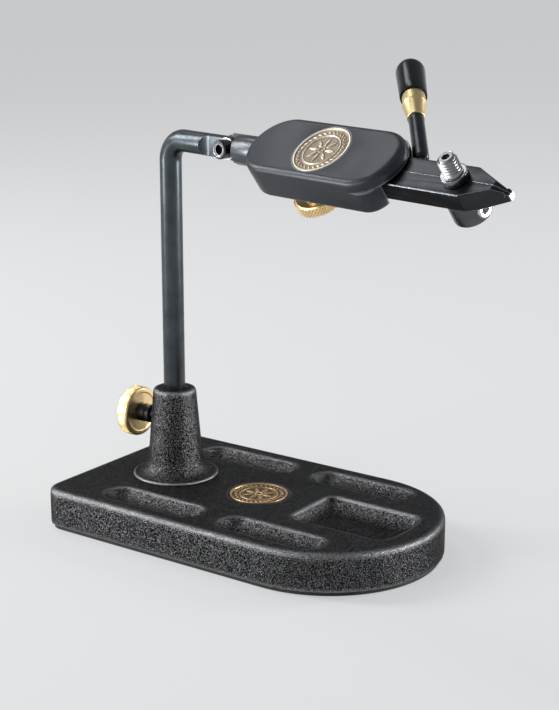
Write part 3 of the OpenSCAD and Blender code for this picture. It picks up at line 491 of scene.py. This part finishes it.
def edge_wear_and_highlight(tree, radius):
    """1 along the metal's edges and 0 on its faces."""
    round_normal = flow(tree, "ShaderNodeBevel", {"Radius": radius}, samples=4)
    true_normal = add(tree, "ShaderNodeNewGeometry").outputs["Normal"]
    same = add(tree, "ShaderNodeVectorMath", {0: round_normal, 1: true_normal}, operation="DOT_PRODUCT")
    return spread(tree, same.outputs["Value"], 1.0, 0.0, start=0.8, stop=0.99)


def times(colour, factor):
    """A colour made brighter by a factor."""
    return tuple(min(1.0, c * factor) for c in colour)


def brushed_brass(name, colour, roughness):
    """Lathe-turned brass with faint clouds of tarnish and soft bright edges."""
    tarnish = tuple(c * k for c, k in zip(colour, (0.92, 0.89, 0.83)))
    made, tree, shader, where = surface(name, colour, roughness, metallic=1.0)
    clouds = spread(tree, grain(tree, where, 2.5 * mm, detail=4.0), 0.0, 1.0)
    base = blended(tree, clouds, colour, tarnish)
    feed(shader, "Base Color", blended(tree, edge_wear_and_highlight(tree, 0.25 * mm), base, times(colour, 1.18)))
    dull = grain(tree, where, 0.8 * mm, detail=3.0)
    feed(shader, "Roughness", spread(tree, dull, roughness - 0.04, roughness + 0.06))
    relief(tree, shader, grain(tree, where, 0.3 * mm), 0.006 * mm, strength=0.5)
    return made


def black_oxide(name, colour, roughness, turn=(0, 0, 0)):
    """Blackened steel: satin, with faint marks along its length, which the turn lays along the x axis,
    and with greyer rubbed edges."""
    made, tree, shader, where = surface(name, colour, roughness, metallic=1.0)
    marks = grain(tree, where, 0.5 * mm, detail=3.0, stretch=(0.04, 1, 1), turn=turn)
    clouds = spread(tree, grain(tree, where, 7 * mm, detail=3.0), 0.0, 1.0)
    base = blended(tree, clouds, colour, times(colour, 1.5))
    feed(shader, "Base Color", blended(tree, edge_wear_and_highlight(tree, 0.3 * mm), base, times(colour, 4.5)))
    feed(shader, "Roughness", spread(tree, marks, roughness - 0.06, roughness + 0.1))
    relief(tree, shader, marks, 0.006 * mm, strength=0.4)
    return made


def in_mm(*points):
    """An outline's (radius, height) points, given in millimetres."""
    return [(x * mm, y * mm) for x, y in points]


knob_brass = brushed_brass("knob_brass", (0.82, 0.625, 0.335), roughness=0.34)
black_screw = black_oxide("black_screw", (0.045, 0.045, 0.048), roughness=0.3)
clamp_height = 43.7
clamp_way = moved(0, 0, clamp_height) @ spun(-90, "Y")

bore, bevel, rim = 2.5, 10.5, 11.05
back, web_back, web_front, front = 19.32, 19.5, 24.7, 25.28
wheel = turned(rounded(in_mm(
    (bore, web_back), (8.6, web_back), (9.0, back), (bevel, back), (rim, 19.9), (rim, web_front),
    (bevel, front), (8.4, front), (8.0, web_front), (3.4, web_front), (3.0, 25.2), (bore, 25.2)),
    0.35 * mm), steps=96)
wheel = with_copies(
    "clamp_wheel", wheel, knob_brass, lumps_in_a_ring, clamp_way, Count=90, Radius=11.0 * mm, Segments=6,
    Rings=5, Out=0.24 * mm, Across=0.3 * mm, High=2.35 * mm, Lean=0.0, Lift=22.3 * mm)
new_piece("clamp_wheel_ribbed", "clamp_handle", knob_brass, wheel, ["clamp_knob"])

tip, hub_start, tail_start, tail_end = 6.87, 12.72, 19.5, 25.0
thread, groove, hub, tail = 2.45, 3.7, 4.15, 2.4
spindle = turned(rounded(in_mm(
    (0, tip), (2.1, tip), (thread, 7.3), (thread, hub_start), (3.5, hub_start), (hub, 13.3), (hub, 15.2),
    (groove, 15.6), (groove, 16.3), (hub, 16.7), (hub, 19.3), (tail, tail_start), (tail, 24.7),
    (2.0, tail_end), (0, tail_end)), 0.3 * mm, 3), clamp_way, 48)
new_piece("clamp_spindle", "clamp_handle", black_screw, spindle, ["clamp_screw"])
dress("clamp_pad", knob_brass)

# The post is one bar of blackened steel, bent over at the top; its end is milled to a flat lug with a
# curved run-out. A plastic cap closes its foot inside the socket.


def eased(node, width, angle=28):
    """A CAD node's mesh with its edges sharper than the angle, in degrees, eased over width, in metres."""
    return with_modifiers(node + "_eased", merged_copy(node), ("BEVEL", {
        "limit_method": "ANGLE", "angle_limit": math.radians(angle), "segments": 3,
        "use_clamp_overlap": True, "width": width}))


def dull_plastic(name, colour):
    """Plain moulded plastic, half dull and a little uneven."""
    made, tree, shader, where = surface(name, colour, roughness=0.5)
    feed(shader, "Roughness", spread(tree, grain(tree, where, 1.0 * mm, detail=3.0), 0.42, 0.6))
    return made


post_black = black_oxide("post_black", (0.048, 0.056, 0.062), roughness=0.32, turn=(0, math.radians(90), 0))
new_piece("post_bar", "post_arm", post_black, eased("post", 0.25 * mm), ["post"])
dress("post_end_cap", dull_plastic("cap_plastic", (0.02, 0.02, 0.02)))

# The lap joint: the shaft's tongue lies against the post's lug, and a socket-head screw with a washer holds
# both. The mouth of its key socket is chamfered bright.
arm_height, arm_swing, head_roll, tilt_distance = 169.4, -11, 36, 39.3
arm = moved(0, 0, arm_height) @ spun(arm_swing, "Z")
head = arm @ spun(head_roll, "X")
across_arm = arm @ moved(tilt_distance, 0, 0) @ spun(90, "X")
across_axis = across_arm.to_3x3() @ Vector((0, 0, 1))
along_arm = (0, 0, math.radians(-arm_swing))


def off_axis(tree, where, centre, axis):
    """How far each point lies from an axis through centre, in metres."""
    away = flow(tree, "ShaderNodeVectorMath", {0: where, 1: tuple(centre)}, operation="SUBTRACT")
    side = flow(tree, "ShaderNodeVectorMath", {0: away, 1: tuple(axis)}, operation="CROSS_PRODUCT")
    return add(tree, "ShaderNodeVectorMath", {0: side}, operation="LENGTH").outputs["Value"]


def bright_mouth(name, dark, centre, axis, near, far, front):
    """Black steel that is bare at its socket's mouth, between two radii about an axis and past a plane."""
    bare_metal = (0.3, 0.3, 0.31)
    made, tree, shader, where = surface(name, dark, roughness=0.28, metallic=1.0)
    radius = off_axis(tree, where, centre, axis)
    within_far = maths(tree, "LESS_THAN", radius, far)
    past_near = maths(tree, "GREATER_THAN", radius, near)
    past_front = maths(tree, "GREATER_THAN", along_axis(tree, where, centre, axis), front)
    mouth = maths(tree, "MULTIPLY", maths(tree, "MULTIPLY", within_far, past_near), past_front)
    marks = grain(tree, where, 0.6 * mm, detail=3.0)
    body = blended(tree, spread(tree, marks, 0.0, 1.0), dark, times(dark, 1.8))
    body = blended(tree, edge_wear_and_highlight(tree, 0.25 * mm), body, bare_metal)
    feed(shader, "Base Color", blended(tree, mouth, body, bare_metal))
    feed(shader, "Roughness", spread(tree, marks, 0.22, 0.36))
    return made


def flat_ring(inner, outer, low, high):
    """The outline of a washer or collar; its sizes are in millimetres."""
    return in_mm((inner, low), (outer, low), (outer, high), (inner, high))


tilt_black = bright_mouth("tilt_screw_black", (0.05, 0.05, 0.055), across_arm.translation, across_axis,
                          near=2.2 * mm, far=3.0 * mm, front=6.6 * mm)
tip, under_head, face = -6.1, 3.1, 7.38
shank, head_radius = 1.98, 4.0
tilt_head = turned(rounded(in_mm(
    (0, tip), (1.7, tip), (shank, -5.8), (shank, under_head), (3.75, under_head), (head_radius, 3.35),
    (head_radius, 6.9), (3.5, face), (2.9, face), (2.42, 7.0)), 0.16 * mm, 3),
    across_arm, 96, key=(4.0 * mm, 2.2 * mm))
new_piece("tilt_screw_socket_head", "tilting_shaft", tilt_black, tilt_head, ["tilt_screw"],
          sharp=25)
washer = turned(rounded(flat_ring(inner=2.06, outer=4.7, low=2.52, high=3.09), 0.12 * mm, 3), across_arm)
new_piece("tilt_washer_round", "tilting_shaft", bright_steel, washer, ["tilt_washer"])

shaft_black = black_oxide("shaft_black", (0.065, 0.07, 0.077), roughness=0.33, turn=along_arm)
new_piece("head_shaft_tongue", "tilting_shaft", shaft_black, eased("head_shaft", 0.3 * mm),
          ["head_shaft"])
dress("shaft_retainer", bright_steel)
dress("retainer_screw", bright_steel)
dress("shaft_bushing", brushed_brass("bush_bronze", (0.55, 0.36, 0.2), roughness=0.4))

# The head's housing is machined from a bar of aluminium, blasted and anodised slate grey. Its top edge is
# well rounded, most of all at the nose over the jaws, and a plate closes it underneath with four screws.
slate, tree, shader, where = surface("slate_anodised", (0.03, 0.034, 0.04), roughness=0.36, metallic=0.4)
shader.inputs["Specular IOR Level"].default_value = 0.3
clouds = grain(tree, where, 9 * mm, detail=3.0)
slate_base = blended(tree, spread(tree, clouds, 0.0, 1.0), (0.026, 0.03, 0.036), (0.032, 0.037, 0.044))
specks = spread(tree, grain(tree, where, 0.35 * mm, detail=1.0), 0.0, 0.5, start=0.6, stop=0.75)
slate_base = blended(tree, specks, slate_base, (0.055, 0.062, 0.072))
# Painted highlight: the housing's edges are painted much lighter than its faces.
feed(shader, "Base Color", blended(tree, edge_wear_and_highlight(tree, 1.5 * mm), slate_base, (0.3, 0.315, 0.335)))
feed(shader, "Roughness", spread(tree, clouds, 0.33, 0.4))
relief(tree, shader, grain(tree, where, 0.22 * mm), 0.012 * mm, strength=0.6)
milled, plate = eased("head_housing", 0.35 * mm), eased("housing_cover", 0.15 * mm)
new_piece("head_housing_milled", "head", slate, milled, ["head_housing"])
new_piece("housing_cover_plate", "head", slate, plate, ["housing_cover"])


def round_screws(places, matrix, radius, low, high, shank, foot):
    """Round-headed screws with a six-sided socket, as one shape; all sizes are in millimetres."""
    mouth, key = radius * 0.3, (radius * 0.7 * mm, 0.45 * mm)
    outline = rounded(in_mm(
        (0, foot), (shank, foot), (shank, low), (radius, low), (radius, high), (mouth, high)), 0.15 * mm, 3)
    whole = bmesh.new()
    for x, y in places:
        screw = as_mesh("screw", turned(outline, matrix @ moved(x, y, 0), 36, key))
        whole.from_mesh(screw)
        bpy.data.meshes.remove(screw)
    return whole


under = head @ spun(180, "X")
cover_back, cover_front, cover_reach = 89.0, 118.5, 10.95
cover_places = [(x, y) for x in (cover_back, cover_front) for y in (cover_reach, -cover_reach)]
cover_screws = round_screws(cover_places, under, radius=1.8, low=6.5, high=7.28, shank=1.0, foot=1.1)
new_piece("cover_screw_set", "head", bright_steel, cover_screws, ["cover_screws"], sharp=25)
medallion("housing_medallion_struck", "head", "housing_medallion", radius=12.35 * mm, top=1.3 * mm,
          matrix=head @ moved(95.8, 0, 6.1), hollow=(0.28, 0.24, 0.185), crest=(0.53, 0.455, 0.355))

# Under the housing a brass knob with a coarse knurl drives a screw, whose nylon tip drags on the journal
# and so sets how hard the head turns.


def diamond_points(tree, given):
    """Columns by Rows four-sided points round a rim, every other row shifted by half a step."""
    count = maths(tree, "MULTIPLY", given["Columns"], given["Rows"])
    index = flow(tree, "GeometryNodeInputIndex")
    row = maths(tree, "FLOOR", maths(tree, "DIVIDE", maths(tree, "ADD", index, 0.5), given["Columns"]))
    half = maths(tree, "MULTIPLY", maths(tree, "MODULO", row, 2.0), 0.5)
    step = maths(tree, "DIVIDE", math.tau, given["Columns"])
    angle = maths(tree, "MULTIPLY", maths(tree, "ADD", index, half), step)
    x = maths(tree, "MULTIPLY", maths(tree, "COSINE", angle), given["Radius"])
    y = maths(tree, "MULTIPLY", maths(tree, "SINE", angle), given["Radius"])
    z = maths(tree, "ADD", given["Low"], maths(tree, "MULTIPLY", row, given["Pitch"]))
    place = flow(tree, "ShaderNodeCombineXYZ", {0: x, 1: y, 2: z})
    points = flow(tree, "GeometryNodePoints", {"Count": count, "Position": place})
    spike = flow(tree, "GeometryNodeMeshCone",
                 {"Vertices": 4, "Radius Top": 0.0, "Radius Bottom": 1.0, "Depth": 1.0})
    size = flow(tree, "ShaderNodeCombineXYZ", {0: given["Pitch"], 1: given["Width"], 2: given["Height"]})
    spike = flow(tree, "GeometryNodeTransform", {"Geometry": spike, "Scale": size})
    spike = flow(tree, "GeometryNodeTransform", {"Geometry": spike, "Rotation": (0, math.radians(90), 0)})
    turn = flow(tree, "ShaderNodeCombineXYZ", {2: angle})
    put = flow(tree, "GeometryNodeInstanceOnPoints", {"Points": points, "Instance": spike})
    return flow(tree, "GeometryNodeRotateInstances", {"Instances": put, "Rotation": turn})


tension_distance = 79.5
bore, neck, bevel, rim = 2.5, 6.0, 9.9, 10.72
top, back, face, dish = 8.52, 17.22, 22.38, 22.0
tension = turned(rounded(in_mm(
    (bore, top), (5.6, top), (neck, 8.9), (neck, 16.2), (7.0, back), (bevel, back), (rim, 18.0),
    (rim, 21.6), (bevel, face), (6.5, face), (6.1, dish), (bore, dish)), 0.3 * mm), steps=96)
tension = with_copies(
    "tension_knob", tension, knob_brass, diamond_points, under @ moved(tension_distance, 0, 0), Columns=44,
    Rows=5, Radius=10.75 * mm, Width=0.8 * mm, Height=0.42 * mm, Pitch=0.78 * mm, Low=18.25 * mm)
new_piece("tension_knob_knurled", "tension_handle", knob_brass, tension, ["tension_knob"],
          sharp=25)
dress("tension_screw", bright_steel)
dress("friction_pad", dull_plastic("drag_nylon", (0.75, 0.75, 0.7)))

# The two jaws are hardened steel, blued dark, and turn on pins inside the housing; springs in the cheeks
# hold them shut. Their tapered noses are ground bare at the tips, where the hook is held.


def blued_jaw(name, bare_from, bare_to):
    """Dark blued steel with fine grinding marks along the jaw; it turns bare between two distances from
    the head's origin, along the head."""
    made, tree, shader, where = surface(name, (0.05, 0.053, 0.059), roughness=0.32, metallic=1.0)
    reach = along_axis(tree, where, head.translation, head.to_3x3() @ Vector((1, 0, 0)))
    ragged = maths(tree, "MULTIPLY", grain(tree, where, 0.6 * mm), 0.6 * mm)
    bare = spread(tree, maths(tree, "ADD", reach, ragged), 0.0, 1.0, bare_from, bare_to)
    marks = grain(tree, where, 0.35 * mm, detail=3.0, stretch=(0.05, 1, 1), turn=along_arm)
    clouds = spread(tree, grain(tree, where, 5 * mm, detail=3.0), 0.0, 1.0)
    blue = blended(tree, clouds, (0.03, 0.0325, 0.036), (0.038, 0.041, 0.046))
    # Painted highlight: thin light lines are painted along the jaw's edges.
    blue = blended(tree, edge_wear_and_highlight(tree, 0.3 * mm), blue, (0.62, 0.63, 0.65))
    feed(shader, "Base Color", blended(tree, bare, blue, (0.55, 0.545, 0.53)))
    feed(shader, "Roughness", spread(tree, marks, 0.29, 0.34))
    relief(tree, shader, marks, 0.002 * mm, strength=0.5)
    return made


jaw_blue = blued_jaw("jaw_blued", bare_from=184.8 * mm, bare_to=185.3 * mm)
for jaw in ("near_jaw", "far_jaw"):
    ground_jaw = eased(jaw, 0.16 * mm, angle=16)
    new_piece(jaw + "_ground", jaw + "_set", jaw_blue, ground_jaw, [jaw], sharp=15)
for hidden in ("jaw_pins", "near_spring", "far_spring", "cam_yoke", "cam_pin", "cam_barrel"):
    dress(hidden, bright_steel)

# The lever: a thin neck from the cam, a black steel rod, a brass ferrule flared like a bell, and a domed
# grip of glossy black plastic.
cam_distance, cam_drop, lever_turn = 144.0, 1.825, 131
lever_way = head @ moved(cam_distance, 0, -cam_drop) @ spun(lever_turn, "Z") @ spun(90, "Y")
along_rod = (spun(90, "Y").to_3x3() @ lever_way.to_3x3().inverted()).to_euler()
rod_black = black_oxide("rod_black", (0.028, 0.031, 0.036), roughness=0.24, turn=tuple(along_rod))
root, shoulder, rod_end = 3.7, 13.52, 75.75
neck, rod_radius = 1.58, 3.04
rod = turned(rounded(in_mm(
    (0, root), (neck, root), (neck, shoulder), (2.4, shoulder), (rod_radius, 14.5), (rod_radius, rod_end),
    (0, rod_end)), 0.3 * mm, 3), lever_way, 48)
new_piece("lever_rod_turned", "lever", rod_black, rod, ["lever_rod"])

ferrule_brass = brushed_brass("ferrule_brass", (0.67, 0.535, 0.29), roughness=0.36)
bore, lip = 3.06, 4.83
small_end, large_end = 41.05, 56.15
bell = turned(rounded(in_mm(
    (bore, small_end), (3.35, small_end), (3.56, 41.3), (3.57, 42.2), (3.85, 44.6), (4.25, 47.2),
    (4.62, 49.5), (lip, 50.3), (lip, 50.6), (4.5, 50.75), (4.58, 51.2), (4.68, 55.9), (4.5, large_end),
    (bore, large_end)), 0.3 * mm), lever_way, 72)
new_piece("lever_ferrule_bell", "lever", ferrule_brass, bell, ["lever_ferrule"])

grip_black, tree, shader, where = surface("grip_black", (0.004, 0.0055, 0.007), roughness=0.2)
shader.inputs["Specular IOR Level"].default_value = 0.25
feed(shader, "Roughness", spread(tree, grain(tree, where, 3 * mm, detail=4.0), 0.15, 0.2))
relief(tree, shader, grain(tree, where, 2.0 * mm, detail=1.0), 0.02 * mm, strength=0.3)
grip_start, dome_start = 56.22, 73.8
dome_radius, dome_height, dome_step = 5.98, 5.97, 5
grip = [(bore, grip_start), (5.1, grip_start), (5.4, 56.4), (5.49, 56.8), (5.62, 61.5), (5.8, 67.6),
        (dome_radius, dome_start)]
for degrees in range(dome_step, 90, dome_step):
    angle = math.radians(degrees)
    grip.append((dome_radius * math.cos(angle), dome_start + dome_height * math.sin(angle)))
grip.append((0, dome_start + dome_height))
grip = turned(in_mm(*grip), lever_way, 72)
new_piece("lever_grip_moulded", "lever", grip_black, grip, ["lever_grip"])

# The stop stud: a stainless screw with a coarse thread and a key socket, a black collar on the jaws and a
# black boss under them, held by a set screw in the boss's side.


def wound_thread(tree, given):
    """A sharp ridge wound up the stud from the height Base."""
    turns = flow(tree, "GeometryNodeCurveSpiral", {
        "Resolution": 32, "Rotations": given["Turns"], "Start Radius": given["Radius"],
        "End Radius": given["Radius"], "Height": given["Height"]})
    upright = flow(tree, "GeometryNodeSetCurveNormal", {"Curve": turns}, mode="Z_UP")
    ridge = flow(tree, "GeometryNodeCurvePrimitiveCircle", {"Resolution": 4, "Radius": given["Ridge"]})
    swept = flow(tree, "GeometryNodeCurveToMesh",
                 {"Curve": upright, "Profile Curve": ridge, "Fill Caps": True})
    lift = flow(tree, "ShaderNodeCombineXYZ", {2: given["Base"]})
    return flow(tree, "GeometryNodeTransform", {"Geometry": swept, "Translation": lift})


stud_distance = 161.4
stud_way = head @ moved(stud_distance, 0, 0)
stud_steel, tree, shader, where = surface("stud_steel", (0.4, 0.4, 0.41), roughness=0.33, metallic=1.0)
radius = off_axis(tree, where, stud_way.translation, head.to_3x3() @ Vector((0, 0, 1)))
# Painted shade: the thread's roots are painted darker than its crests.
crests = spread(tree, radius, 0.0, 1.0, start=3.3 * mm, stop=3.75 * mm)
feed(shader, "Base Color", blended(tree, crests, (0.22, 0.22, 0.225), (0.5, 0.5, 0.51)))
feed(shader, "Roughness", spread(tree, grain(tree, where, 0.7 * mm, detail=3.0), 0.27, 0.4))
tip, thread_start, face = -13.48, 6.2, 12.86
core, shank = 3.3, 3.82
stud = turned(rounded(in_mm(
    (0, tip), (core, tip), (shank, -12.9), (shank, 5.9), (core, thread_start), (core, 11.9), (2.6, face),
    (2.0, face)), 0.12 * mm, 3), steps=96, key=(3.0 * mm, 1.6 * mm))
stud = with_copies("stop_stud", stud, stud_steel, wound_thread, stud_way, Turns=4.8, Radius=core * mm,
                   Height=6.0 * mm, Ridge=0.5 * mm, Base=thread_start * mm)
new_piece("stop_stud_threaded", "near_jaw_set", stud_steel, stud, ["stud_screw"], sharp=25)

collar_black = black_oxide("collar_black", (0.16, 0.163, 0.17), roughness=0.2)
collar = turned(rounded(flat_ring(inner=3.88, outer=5.28, low=2.12, high=5.28), 0.4 * mm), stud_way, 72)
new_piece("stop_collar", "near_jaw_set", collar_black, collar, ["stud_collar"])
boss_black = black_oxide("boss_black", (0.075, 0.078, 0.084), roughness=0.27)
boss = eased("stud_boss", 0.2 * mm)
new_piece("stop_boss", "near_jaw_set", boss_black, boss, ["stud_boss"])

boss_drop = 11.05
set_way = head @ moved(stud_distance, 0, -boss_drop) @ spun(90, "Y")
tip, under_head, face = 3.92, 5.02, 7.78
shank, head_radius = 2.43, 3.58
set_screw = turned(rounded(in_mm(
    (0, tip), (shank, tip), (shank, under_head), (head_radius, under_head), (head_radius, 7.3), (3.2, face),
    (2.6, face), (2.35, 7.5)), 0.12 * mm, 3), set_way, 72, key=(4.0 * mm, 1.8 * mm))
new_piece("boss_set_screw", "near_jaw_set", bright_steel, set_screw, ["boss_screw"], sharp=25)
